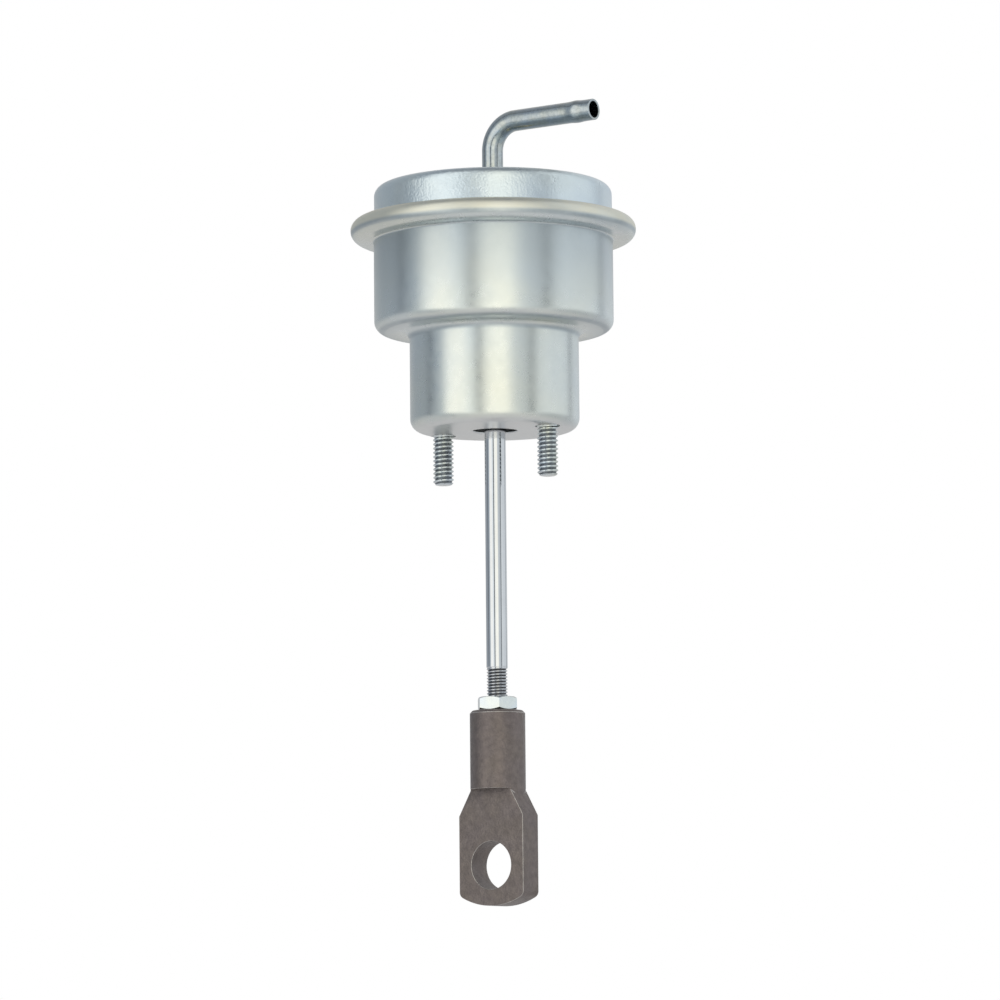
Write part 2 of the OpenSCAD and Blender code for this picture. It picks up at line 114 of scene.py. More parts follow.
def arc(x: float, y: float, radius: float, angle: Array) -> Array:
    """Points on a circle in a plane: the centre plus the radius times cosine and sine, one row each."""
    return np.array([x, y]) + radius * np.stack([np.cos(angle), np.sin(angle)], axis=1)


def grid_of(x: Array, y: Array, z: Array) -> Array:
    """Grid of points from their coordinates, each given by row, by column or by both."""
    return np.stack(np.broadcast_arrays(x, y, z), axis=-1)


def around(radius: Array, height: Array, angle: Array) -> Array:
    """Grid of points round the Z axis: x = r cos(a), y = r sin(a), z = height."""
    return grid_of(radius * np.cos(angle), radius * np.sin(angle), height)


def ramp(value: Array, start: float, end: float) -> Array:
    """Soft step from 0 at the start to 1 at the end: three times the share's square less twice its cube."""
    share = np.clip((value - start) / (end - start), 0, 1)
    return share * share * (3 - 2 * share)


def blend(first: Array, second: Array, share: Array) -> Array:
    """First value plus the share of the way to the second."""
    return np.asarray(first) + (np.asarray(second) - np.asarray(first)) * share


def between(stops: Sequence[Sequence[float]], place: Array) -> Array:
    """Values at each place, on a soft step from each stop's values to the next stop's.

    Args:
        stops: Rows of a stop's place and its values, in order.
        place: Places asked for.

    Returns:
        Values, along a last axis of their own.
    """
    table = np.array(stops)
    after = np.clip(np.searchsorted(table[:, 0], place), 1, len(table) - 1)
    start, end = table[after - 1], table[after]
    return blend(start[..., 1:], end[..., 1:], ramp(place, start[..., 0], end[..., 0])[..., None])


class Track:
    """Line of straight runs and round bends in a plane, with its heading at each point."""

    def __init__(self, x: float, y: float, heading: float) -> None:
        """Start the line.

        Args:
            x: First coordinate of the start.
            y: Second coordinate of the start.
            heading: Direction of travel, anticlockwise from the first axis.
        """
        self._points = [np.array([[x, y]])]
        self._headings = [np.array([heading])]

    @property
    def points(self) -> Array:
        """Points of the line, one row each."""
        return np.concatenate(self._points)

    @property
    def headings(self) -> Array:
        """Direction of travel at each point."""
        return np.concatenate(self._headings)

    def run(self, length: float, steps: int = 1) -> "Track":
        """Add a straight run.

        Args:
            length: Length of the run.
            steps: Number of equal steps in it.

        Returns:
            The track itself.
        """
        last, heading = self._points[-1][-1], self._headings[-1][-1]
        along = np.linspace(0, length, steps + 1)[1:, None]
        self._points.append(last + along * np.array([math.cos(heading), math.sin(heading)]))
        self._headings.append(np.full(steps, heading))
        return self

    def bend(self, radius: float, angle: float, steps: int) -> "Track":
        """Add a round bend: points on a circle whose centre lies square to the heading.

        Args:
            radius: Radius of the bend.
            angle: Angle turned, positive to the left.
            steps: Number of equal steps in it.

        Returns:
            The track itself.
        """
        last, heading = self._points[-1][-1], self._headings[-1][-1]
        side = math.copysign(radius, angle)
        centre = last + side * np.array([-math.sin(heading), math.cos(heading)])
        turned = heading + np.linspace(0, angle, steps + 1)[1:]
        self._points.append(arc(*centre, side, turned - QUARTER))
        self._headings.append(turned)
        return self


def ribbon(track: Track, thickness: float) -> Array:
    """Closed outline of a strip of sheet whose middle follows a track, with both ends rounded.

    Each side is the track moved by half the thickness along its normal. Each end is a half circle.

    Args:
        track: Middle line of the sheet.
        thickness: Thickness of the sheet.

    Returns:
        Outline, anticlockwise, one row a point. The last rows are the half circle at the track's start.
    """
    half, heading = thickness / 2, track.headings
    normal = np.stack([-np.sin(heading), np.cos(heading)], axis=1)
    turn = np.linspace(-QUARTER, QUARTER, END_STEPS + 1)[1:-1]
    return np.concatenate([
        track.points - half * normal,
        arc(*track.points[-1], half, heading[-1] + turn),
        (track.points + half * normal)[::-1],
        arc(*track.points[0], half, heading[0] + math.pi + turn),
    ])


def revolve(outline: Array, steps: int) -> Array:
    """Carry an outline of radius and height round the Z axis, into a grid of outline by turn."""
    return around(outline[:, :1], outline[:, 1:], full_turn(steps))


def grid_faces(rows: int, columns: int, closed: bool) -> Array:
    """Four-sided faces of a grid that closes along its columns.

    Args:
        rows: Number of rows, along the outline.
        columns: Number of columns, round the turn.
        closed: True if the last row joins the first.

    Returns:
        Faces, one row each, as indices into the grid's points.
    """
    row = np.arange(rows if closed else rows - 1)[:, None]
    column = np.arange(columns)[None, :]
    after_row, after_column = (row + 1) % rows, (column + 1) % columns
    corners = [row * columns + column, row * columns + after_column,
               after_row * columns + after_column, after_row * columns + column]
    return np.stack(corners, axis=2).reshape(-1, 4)


def place(name: str, data: bpy.types.ID) -> Piece:
    """Put a new object with that data into the scene."""
    thing = bpy.data.objects.new(name, data)
    bpy.context.scene.collection.objects.link(thing)
    return thing


def soften(mesh: bpy.types.Mesh) -> None:
    """Shade a mesh smooth, with edges sharper than the limit kept."""
    mesh.shade_smooth()
    mesh.set_sharp_from_angle(angle=SHARP)


def link_mesh(name: str, points: Array, faces: Sequence[Sequence[int]]) -> Piece:
    """Put points and faces into a smooth-shaded mesh object with its sharp edges marked."""
    mesh = bpy.data.meshes.new(name)
    mesh.from_pydata(points.tolist(), [], faces)
    mesh.update()
    soften(mesh)
    return place(name, mesh)


def make_piece(name: str, grid: Array, closed: bool = True) -> Piece:
    """Make an object from a grid of points whose columns run round it.

    Args:
        name: Name of the piece.
        grid: Points, rows by columns by 3.
        closed: True if the last row joins the first. If False, one many-sided face caps each end.

    Returns:
        The new object, at the origin.
    """
    rows, columns = grid.shape[:2]
    faces = grid_faces(rows, columns, closed).tolist()
    if not closed:
        ring = np.arange(columns)
        faces += [ring[::-1].tolist(), ((rows - 1) * columns + ring).tolist()]
    return link_mesh(name, grid.reshape(-1, 3), faces)


def carve(piece: Piece, cutters: Sequence[Piece], keep: str = "DIFFERENCE") -> None:
    """Cut or join other solids with a piece, and remove them.

    Args:
        piece: Solid that is changed.
        cutters: Solids that are used up.
        keep: What is kept, a name of the Boolean modifier's operations.
    """
    for cutter in cutters:
        step = piece.modifiers.new("cut", "BOOLEAN")
        step.operation = keep
        step.solver = "EXACT"
        step.object = cutter
    bake(piece)
    for cutter in cutters:
        bpy.data.meshes.remove(cutter.data)


def bake(piece: Piece) -> None:
    """Replace a piece's mesh by what its modifiers make of it."""
    graph = bpy.context.evaluated_depsgraph_get()
    made = bpy.data.meshes.new_from_object(piece.evaluated_get(graph))
    piece.modifiers.clear()
    old = piece.data
    piece.data = made
    made.name = piece.name
    bpy.data.meshes.remove(old)
    soften(made)


def post(radius: float, low: float, high: float, x: float = 0.0) -> Piece:
    """Plain round solid along Z, used as a cutter.

    It is turned half a step, so that no corner of it meets another piece's.

    Args:
        radius: Its radius.
        low: Height of its foot.
        high: Height of its top.
        x: Place of its axis along X.

    Returns:
        The new solid.
    """
    grid = around(radius, np.array([[low], [high]]), full_turn(CUTTER_STEPS) + math.pi / CUTTER_STEPS)
    return make_piece("cutter", grid + np.array([x, 0, 0]), closed=False)


def slab(outline: Array, back: float, front: float) -> Piece:
    """Solid with flat faces square to Y, used as a cutter.

    Args:
        outline: Rows of x and z, anticlockwise as seen from the front.
        back: Higher y of the two faces.
        front: Lower y of the two faces.

    Returns:
        The new solid.
    """
    grid = grid_of(outline[:, 0], np.array([[back], [front]]), outline[:, 1])
    return make_piece("cutter", grid, closed=False)


def set_mask(piece: Piece, name: str, values: Array, domain: str = "POINT") -> None:
    """Write one value from 0 to 1 for each point or face of a piece into an attribute."""
    layer = piece.data.attributes.new(name, "FLOAT", domain)
    layer.data.foreach_set("value", values.astype(np.float32).ravel())


def radius_and_height(piece: Piece) -> tuple[Array, Array]:
    """Distance from the Z axis and height of each point of a piece."""
    points = np.empty(3 * len(piece.data.vertices))
    piece.data.vertices.foreach_get("co", points)
    x, y, height = points.reshape(-1, 3).T
    return np.hypot(x, y), height


def wear_edges(piece: Piece, width: float, kept: tuple[float, float]) -> None:
    """Chamfer a piece's edges, and mark the chamfers with a value of 1 in its "worn" attribute.

    Args:
        piece: Solid whose edges are cut.
        width: Width of the chamfer.
        kept: Heights between which the chamfers count as unworn, as in an inner corner.
    """
    piece.data.materials.append(None)
    piece.data.materials.append(None)
    step = piece.modifiers.new("edge", "BEVEL")
    step.width = width
    step.segments = 1
    step.limit_method = "ANGLE"
    step.angle_limit = SHARP
    step.material = 1
    bake(piece)
    faces = piece.data.polygons
    index, centre = np.empty(len(faces), np.int32), np.empty(3 * len(faces))
    faces.foreach_get("material_index", index)
    faces.foreach_get("center", centre)
    height = centre.reshape(-1, 3)[:, 2]
    set_mask(piece, "worn", (index == 1) & ((height < kept[0]) | (height > kept[1])), "FACE")
    faces.foreach_set("material_index", np.zeros_like(index))


@dataclass
class ThreadedBar:
    """Round bar with a right-hand screw thread at its lower end.

    Attributes:
        tip: Height and width of the chamfer at its foot.
        dome_w: Width of the slight dome inside the chamfer.
        dome_h: Height of that dome.
        thread_from: Height above the foot at which the thread starts.
        rings: Rings of points in a pitch.
        run_out: Pitches below the thread's top over which it fades out.
        crest_half: Half the flat crest's width, in pitches.
        flank: Width of a flank, in pitches.
    """

    pitch: float
    root: float
    rings: int
    run_out: float
    steps: int
    crest: float = 0.003120
    radius: float = 0.003175
    tip: float = 0.0008
    dome_w: float = 0.0004
    dome_h: float = 0.0001
    thread_from: float = 0.00024
    crest_half: float = 0.08
    flank: float = 0.32

    def make(self, name: str, low: float, top: float, rest: Sequence[Sequence[float]], x: float) -> Piece:
        """Make the bar, with a "root" attribute that is 0 from crest to halfway down, and 1 at the root,
        where shade is painted.

        The phase is the height in pitches less the angle in turns. Over one pitch the section is a flat
        crest, a straight flank, a flat root and a flank back. The thread never stands outside the plain bar.

        Args:
            name: Name of the piece.
            low: Height of the foot.
            top: Height at which the thread ends.
            rest: Rows of radius and height above the tip, up to the bar's top.
            x: Place of its axis along X.

        Returns:
            The new object.
        """
        outline = np.array([
            (self.radius - self.tip - self.dome_w, low), (self.radius - self.tip, low + self.dome_h),
            (self.radius, low + self.tip), *rest,
        ])
        start = low + self.thread_from
        count = int(round((top - start) / self.pitch * self.rings))
        heights, angle = np.linspace(start, top, count + 1)[:, None], full_turn(self.steps)
        plain = np.interp(heights, outline[:, 1], outline[:, 0])
        phase = np.mod(heights / self.pitch - angle / TURN, 1)
        share = np.clip((self.crest_half + self.flank - np.abs(phase - 0.5)) / self.flank, 0, 1)
        thread = np.minimum(plain, blend(self.root, self.crest, share))
        full = np.clip((top - heights) / (self.run_out * self.pitch), 0, 1)
        grid = np.concatenate([
            revolve(outline[outline[:, 1] < start], self.steps),
            around(blend(plain, thread, full), heights, angle),
            revolve(outline[outline[:, 1] > top], self.steps),
        ])
        bar = make_piece(name, grid + np.array([x, 0, 0]), closed=False)
        radius, height = np.hypot(grid[..., 0], grid[..., 1]), grid[..., 2]
        depth = ramp(radius, (self.crest + self.root) / 2, self.root)
        # The "root" attribute marks where the finishes paint shade into the thread's roots.
        set_mask(bar, "root", np.where((height > start) & (height < top), depth, 0))
        return bar


def feed(tree: Tree, node: bpy.types.Node, inputs: dict) -> None:
    """Set a node's inputs, by name or number, to values or to the output sockets of other nodes."""
    for name, value in inputs.items():
        if isinstance(value, bpy.types.NodeSocket):
            tree.links.new(value, node.inputs[name])
        else:
            node.inputs[name].default_value = value


def add_node(tree: Tree, kind: str, inputs: dict | None = None, **settings) -> bpy.types.Node:
    """Add a shader node, and set its properties and inputs.

    Args:
        tree: Tree that the node goes into.
        kind: Blender's name of the node type.
        inputs: Values or output sockets by input name or number.
        settings: Properties of the node.

    Returns:
        The new node.
    """
    node = tree.nodes.new(kind)
    for name, value in settings.items():
        setattr(node, name, value)
    feed(tree, node, inputs or {})
    return node


def new_material(name: str) -> tuple[bpy.types.Material, Tree, bpy.types.Node]:
    """Make a material, and give it with its tree and its Principled BSDF."""
    material = bpy.data.materials.new(name)
    material.use_nodes = True
    return material, material.node_tree, material.node_tree.nodes["Principled BSDF"]


def new_group(name: str, inputs: dict[str, tuple[str, object]], outputs: dict[str, str]) -> tuple:
    """Start a shader node group.

    Args:
        name: Name of the group.
        inputs: Kind of socket and default value, by input name, after a Vector that every group has.
        outputs: Kind of socket, by output name.

    Returns:
        The tree, a list of its input sockets and its output node.
    """
    tree = bpy.data.node_groups.new(name, "ShaderNodeTree")
    tree.interface.new_socket("Vector", in_out="INPUT", socket_type=VECTOR)
    for label, (kind, value) in inputs.items():
        tree.interface.new_socket(label, in_out="INPUT", socket_type=kind).default_value = value
    for label, kind in outputs.items():
        tree.interface.new_socket(label, in_out="OUTPUT", socket_type=kind)
    given = list(tree.nodes.new("NodeGroupInput").outputs)[:len(inputs) + 1]
    return tree, given, tree.nodes.new("NodeGroupOutput")


def math_node(tree: Tree, operation: str, first: object, second: object) -> object:
    """Output of one arithmetic node."""
    return add_node(tree, "ShaderNodeMath", {0: first, 1: second}, operation=operation).outputs[0]


def spread(tree: Tree, value: object, low: float, high: float) -> object:
    """Output of a node that takes low to 0 and high to 1, and clips beyond."""
    inputs = {"Value": value, "From Min": low, "From Max": high}
    return add_node(tree, "ShaderNodeMapRange", inputs, clamp=True).outputs["Result"]


def noise(tree: Tree, where: object, scale: object, detail: float) -> object:
    """Factor output of a noise texture."""
    inputs = {"Vector": where, "Scale": scale, "Detail": detail}
    return add_node(tree, "ShaderNodeTexNoise", inputs).outputs[0]


def mix_color(tree: Tree, share: object, first: object, second: object, way: str = "MIX") -> object:
    """Output of a node that mixes two colours."""
    inputs = {0: share, 6: first, 7: second}
    return add_node(tree, "ShaderNodeMix", inputs, data_type="RGBA", blend_type=way).outputs[2]


def mix_value(tree: Tree, share: object, first: object, second: object) -> object:
    """Output of a node that mixes two plain values."""
    return add_node(tree, "ShaderNodeMix", {0: share, 2: first, 3: second}, data_type="FLOAT").outputs[0]


class Effects:
    """Shader node groups that the finishes share."""

    def __init__(self) -> None:
        """Build each group once."""
        self.mottle = self._mottle()
        self.tint = self._tint()
        self.grain = self._grain()
        self.marks = self._marks()

    @staticmethod
    def _mottle() -> Tree:
        """Broad uneven patches with a finer layer over them: a value round one half."""
        tree, (where, scale), made = new_group("mottle", {"Scale": (FLOAT, 60.0)}, {"Value": FLOAT})
        broad = noise(tree, where, scale, detail=3.0)
        fine = noise(tree, where, math_node(tree, "MULTIPLY", scale, 5.3), detail=4.0)
        total = math_node(tree, "ADD", broad, math_node(tree, "MULTIPLY", fine, 0.5))
        feed(tree, made, {0: spread(tree, total, low=0.45, high=1.05)})
        return tree

    @staticmethod
    def _tint() -> Tree:
        """Passivate film: the base colour, washed with a warm and a cool tint in broad patches."""
        inputs = {"Color": (COLOR, (0.8, 0.8, 0.8, 1)), "Warm": (COLOR, (1, 1, 1, 1)),
                  "Cool": (COLOR, (1, 1, 1, 1)), "Scale": (FLOAT, 30.0)}
        tree, (where, base, warm, cool, scale), made = new_group("passivate_tint", inputs, {"Color": COLOR})
        patch = spread(tree, noise(tree, where, scale, detail=3.0), low=0.35, high=0.65)
        wash = mix_color(tree, patch, cool, warm)
        feed(tree, made, {0: mix_color(tree, 1.0, base, wash, "MULTIPLY")})
        return tree

    @staticmethod
    def _grain() -> Tree:
        """Fine crystalline grain: a height and a value for roughness."""
        outputs = {"Height": FLOAT, "Value": FLOAT}
        tree, (where, scale), made = new_group("grain", {"Scale": (FLOAT, 2500.0)}, outputs)
        pebble = noise(tree, where, scale, detail=2.0)
        speck = noise(tree, where, math_node(tree, "MULTIPLY", scale, 0.22), detail=5.0)
        total = math_node(tree, "ADD", pebble, math_node(tree, "MULTIPLY", speck, 0.8))
        feed(tree, made, {0: total, 1: spread(tree, speck, low=0.3, high=0.7)})
        return tree

    @staticmethod
    def _marks() -> Tree:
        """Fine lines round the Z axis, left by a lathe or a drawing die: noise of radius and height alone."""
        tree, (where, scale), made = new_group("turning_marks", {"Scale": (FLOAT, 3000.0)}, {"Height": FLOAT})
        parts = add_node(tree, "ShaderNodeSeparateXYZ", {0: where}).outputs
        flat = add_node(tree, "ShaderNodeCombineXYZ", {0: parts[0], 1: parts[1]}).outputs[0]
        radius = add_node(tree, "ShaderNodeVectorMath", {0: flat}, operation="LENGTH").outputs["Value"]
        line = add_node(tree, "ShaderNodeCombineXYZ", {0: radius, 1: parts[2]}).outputs[0]
        feed(tree, made, {0: noise(tree, line, scale, detail=3.0)})
        return tree


@dataclass(frozen=True)
class Mask:
    """Place of another look within a finish, given by an attribute of the piece from 0 to 1.

    Attributes:
        name: Name of the attribute.
        broken: Share of it that the mottle breaks up.
    """

    name: str
    color: Rgb
    roughness: float
    broken: float


@dataclass(frozen=True)
class Finish:
    """Surface of one material slot.

    Attributes:
        warm: Tint of the warm patches.
        cool: Tint of the cool patches.
        roughness: Lowest and highest roughness.
        patch_scale: Scale of the tint's patches.
        mottle_times: Scale of the mottle, as a multiple of the patches'.
        grain_depth: Height of the fine grain.
        mark_depth: Height of the turning marks, or 0 for none.
        shade: Darkest shade of the mottle, as a share of the colour.
        masks: Places of another look.
    """

    slot: str
    color: Rgb
    warm: Rgb = (1.0, 1.0, 1.0)
    cool: Rgb = (1.0, 1.0, 1.0)
    metallic: float = 1.0
    roughness: tuple[float, float] = (0.3, 0.4)
    patch_scale: float = 30.0
    mottle_times: float = 4.0
    grain_scale: float = 2500.0
    grain_depth: float = 0.00001
    mark_scale: float = 3000.0
    mark_depth: float = 0.0
    shade: float = 0.9
    masks: tuple[Mask, ...] = ()

    def build(self, effects: Effects) -> bpy.types.Material:
        """Make the material.

        Args:
            effects: Shared node groups.

        Returns:
            The new material.
        """
        material, tree, shader = new_material(self.slot)
        where = add_node(tree, "ShaderNodeTexCoord").outputs["Object"]
        mottle = self._group(tree, effects.mottle, where, self.patch_scale * self.mottle_times)["Value"]
        grain = self._group(tree, effects.grain, where, self.grain_scale)
        shaded = tuple(self.shade * c for c in self.color)
        base = mix_color(tree, mottle, (*shaded, 1), (*self.color, 1))
        tints = {"Color": base, "Warm": (*self.warm, 1), "Cool": (*self.cool, 1)}
        color = self._group(tree, effects.tint, where, self.patch_scale, **tints)["Color"]
        inputs = {"Value": grain["Value"], "To Min": self.roughness[0], "To Max": self.roughness[1]}
        roughness = add_node(tree, "ShaderNodeMapRange", inputs).outputs["Result"]
        for mask in self.masks:
            there = add_node(tree, "ShaderNodeAttribute", attribute_name=mask.name).outputs["Fac"]
            kept = add_node(tree, "ShaderNodeMapRange", {"Value": mottle, "To Min": 1 - mask.broken})
            there = math_node(tree, "MULTIPLY", there, kept.outputs["Result"])
            color = mix_color(tree, there, color, (*mask.color, 1))
            roughness = mix_value(tree, there, roughness, mask.roughness)
        height = math_node(tree, "MULTIPLY", grain["Height"], self.grain_depth)
        if self.mark_depth:
            marks = self._group(tree, effects.marks, where, self.mark_scale)["Height"]
            height = math_node(tree, "ADD", height, math_node(tree, "MULTIPLY", marks, self.mark_depth))
        bump = add_node(tree, "ShaderNodeBump", {"Height": height, "Distance": 1.0}).outputs[0]
        inputs = {"Base Color": color, "Roughness": roughness, "Normal": bump, "Metallic": self.metallic}
        feed(tree, shader, inputs)
        return material

    @staticmethod
    def _group(tree: Tree, group: Tree, where: object, scale: float,
               **inputs) -> bpy.types.NodeOutputs:
        """Place a shared group.

        Args:
            tree: Tree that it goes into.
            group: The shared group.
            where: Socket of the Object coordinates.
            scale: Scale of its pattern.
            inputs: Its other inputs, by name.

        Returns:
            Its output sockets.
        """
        inputs = {"Vector": where, "Scale": scale, **inputs}
        return add_node(tree, "ShaderNodeGroup", inputs, node_tree=group).outputs


CREAM = (1.0, 0.985, 0.90)
ICE = (0.96, 0.99, 1.0)
CAN_MASKS = (
    Mask("gilt", (0.82, 0.785, 0.67), 0.46, 0.4),
    Mask("dull", (0.76, 0.76, 0.76), 0.38, 0.3),
    # Painted shade, darker in the can's bends and on the rim's roll.
    Mask("painted_crease_shade", (0.42, 0.47, 0.50), 0.34, 0.35),
)
FINISHES = (
    Finish("zinc_can", (0.76, 0.785, 0.79), CREAM, ICE, roughness=(0.25, 0.33), grain_scale=1500.0,
           grain_depth=0.000006, mark_depth=0.000002, mark_scale=900.0, shade=0.93, masks=CAN_MASKS),
    Finish("zinc_cover", (0.75, 0.82, 0.90), CREAM, ICE, roughness=(0.27, 0.36), grain_scale=1400.0,
           grain_depth=0.0001, shade=0.93),
    Finish("zinc_pipe", (0.55, 0.585, 0.62), CREAM, ICE, roughness=(0.12, 0.20), patch_scale=260.0,
           grain_scale=1300.0, grain_depth=0.000012, shade=0.74),
    Finish("braze", (0.66, 0.63, 0.52), (1.0, 0.93, 0.75), ICE, roughness=(0.35, 0.5), patch_scale=300.0),
    Finish("plain_steel", (0.56, 0.57, 0.58), (1.0, 0.98, 0.94), ICE, roughness=(0.28, 0.42),
           mark_depth=0.000006),
    Finish("turned_steel", (0.62, 0.63, 0.65), roughness=(0.16, 0.26), mark_depth=0.00001, mark_scale=4000.0),
    # The root mask is painted shade, near black in the studs' thread roots.
    Finish("bright_zinc", (0.78, 0.81, 0.85), (1.0, 0.99, 0.88), ICE, roughness=(0.14, 0.24),
           patch_scale=150.0, grain_depth=0.000004, masks=(Mask("root", (0.08, 0.09, 0.11), 0.5, 0.3),)),
    Finish("spring_steel", (0.16, 0.16, 0.17), (1.0, 0.9, 0.78), ICE, roughness=(0.3, 0.45), shade=0.7),
    Finish("diaphragm_rubber", (0.028, 0.028, 0.03), metallic=0.0, roughness=(0.55, 0.7), grain_scale=1500.0,
           grain_depth=0.00003, shade=0.7),
    Finish("seal_rubber", (0.02, 0.02, 0.02), metallic=0.0, roughness=(0.4, 0.5), shade=0.8),
    # The root mask is painted shade, near black in the rod's thread roots.
    Finish("polished_rod", (0.70, 0.71, 0.73), roughness=(0.05, 0.10), grain_depth=0.000001,
           mark_depth=0.0000015, mark_scale=5000.0, shade=0.92,
           masks=(Mask("root", (0.05, 0.05, 0.055), 0.5, 0.2),)),
    Finish("phosphate_steel", (0.22, 0.187, 0.178), (1.0, 0.985, 0.94), (1.0, 0.985, 0.99), metallic=0.7,
           roughness=(0.36, 0.50), patch_scale=160.0, grain_scale=1600.0, grain_depth=0.0001, shade=0.66,
           masks=(Mask("worn", (0.66, 0.63, 0.60), 0.32, 0.6),)),
)


class Dresser:
    """Gives pieces and CAD nodes their materials."""

    def __init__(self) -> None:
        """Build every material once."""
        effects = Effects()
        self.materials = {finish.slot: finish.build(effects) for finish in FINISHES}
        self.slots = {part["node"]: part["material_slot"] for part in frame["record"]["subparts"]}

    def finish(self, piece: Piece, node: str) -> None:
        """Give a piece the finish of a CAD node, and let it stand for that node."""
        slot = self.slots[node]
        piece.data.materials.clear()
        piece.data.materials.append(self.materials[slot])
        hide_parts(node)
        LOG.info("%s: %d faces", piece.name, len(piece.data.polygons))

    def dress(self, piece: Piece, node: str, body: Body) -> None:
        """Finish a piece that stands for a CAD node, and let it ride on its body.

        Args:
            piece: New piece, in place.
            node: Node that it stands for.
            body: Body that it rides on.
        """
        self.finish(piece, node)
        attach(piece, body.value)

    def dress_node(self, node: str) -> None:
        """Finish a CAD node that is shown as it is."""
        for slot in frame["nodes"][node].material_slots:
            slot.material = self.materials[self.slots[node]]
        LOG.info("%s: CAD node", node)


@dataclass(frozen=True)
class Can:
    """Stepped can and its cover.

    Attributes:
        painted_shade_rings: Radius, height and reach of each ring round which shade is painted darker into
            the zinc.
        painted_shade_fade: Reaches from a ring at which the painted shade starts and is full.
        gilt_in: How far outside the wall, and above the rim's underside, the yellow passivate starts.
        gilt_full: How far out, and how far up, it is full.
    """

    sheet: float = 0.0010
    small_r: float = 0.0254
    small_h: float = 0.0300
    large_r: float = 0.0360
    floor_corner: float = 0.0038
    step_corner: float = 0.0034
    neck_bend: float = 0.0025
    rim_bend: float = 0.0008
    rim_z: float = 0.0577
    lip_w: float = 0.0046
    rod_hole_r: float = 0.006675
    stud_hole_r: float = 0.00375
    cover_inset: float = 0.00015
    cover_edge: float = 0.0030
    cover_bend: float = 0.0010
    painted_shade_rings: tuple[tuple[float, float, float], ...] = (
        (0.0337, 0.0302, 0.0014), (0.0260, 0.0283, 0.0009),
        (0.0429, 0.0597, 0.0009), (0.0361, 0.0571, 0.0004),
    )
    painted_shade_fade: tuple[float, float] = (1.3, 0.3)
    gilt_in: float = 0.0010
    gilt_full: tuple[float, float] = (0.0025, 0.0030)
    steps: int = 256

    def shell_track(self) -> Track:
        """Middle of the can's sheet, from the rod hole out, up both walls and over the cover's flange."""
        half, high = self.sheet / 2, node_high("lower_can")
        roll = (high.z - self.rim_z) / 2
        track = Track(self.rod_hole_r + half, half, 0)
        track.run(self.small_r - self.floor_corner - self.rod_hole_r - half)
        track.bend(self.floor_corner - half, QUARTER, steps=12)
        track.run(self.small_h - self.neck_bend - self.floor_corner)
        track.bend(self.neck_bend + half, -QUARTER, steps=12)
        track.run(self.large_r - self.step_corner - self.small_r - self.neck_bend)
        track.bend(self.step_corner - half, QUARTER, steps=12)
        track.run(self.rim_z - self.rim_bend - self.small_h - self.step_corner)
        track.bend(self.rim_bend + half, -QUARTER, steps=10)
        track.run(high.x - roll - self.large_r - self.rim_bend)
        track.bend(roll - half, math.pi, steps=24)
        return track.run(self.lip_w - roll)

    def cover_track(self) -> Track:
        """Middle of the cover's sheet, from the flange's edge in, up the wall and in to the pipe's hole."""
        half, low, high = self.sheet / 2, node_low("upper_cover"), node_high("upper_cover")
        wall_r = self.large_r - self.cover_inset
        track = Track(high.x - half, low.z + half, math.pi)
        track.run(high.x - half - wall_r - self.cover_bend)
        track.bend(self.cover_bend + half, -QUARTER, steps=8)
        track.run(high.z - low.z - self.sheet - self.cover_bend - self.cover_edge)
        track.bend(self.cover_edge - half, QUARTER, steps=12)
        return track.run(wall_r - self.cover_edge - node_high("hose_pipe").y - half)

    def mask(self, shell: Piece) -> None:
        """Mark painted shade on the shell, and where it is yellow or dull: soft steps of radius, height or
        distance.
        """
        radius, height = radius_and_height(shell)
        # Painted shade: darker near each ring in the bends and on the rim's roll.
        rings = [np.hypot(radius - r, height - z) / reach for r, z, reach in self.painted_shade_rings]
        set_mask(shell, "painted_crease_shade", ramp(np.min(rings, axis=0), *self.painted_shade_fade))
        out = ramp(radius - self.large_r, self.gilt_in, self.gilt_full[0])
        set_mask(shell, "gilt", out * ramp(height - self.rim_z, self.gilt_in, self.gilt_full[1]))
        set_mask(shell, "dull", ramp(height, self.floor_corner / 2, 0))

    def build(self, dresser: Dresser) -> None:
        """Make and dress the can and its cover."""
        shell = make_piece("can_shell", revolve(ribbon(self.shell_track(), self.sheet), self.steps))
        stud_x = mount("stud_pattern")["dims"]["pcd_mm"] * MM / 2
        carve(shell, [post(self.stud_hole_r, -self.sheet, 2 * self.sheet, x) for x in (-stud_x, stud_x)])
        self.mask(shell)
        dresser.dress(shell, "lower_can", Body.CAN)
        cover = make_piece("cover_shell", revolve(ribbon(self.cover_track(), self.sheet), self.steps))
        dresser.dress(cover, "upper_cover", Body.CAN)


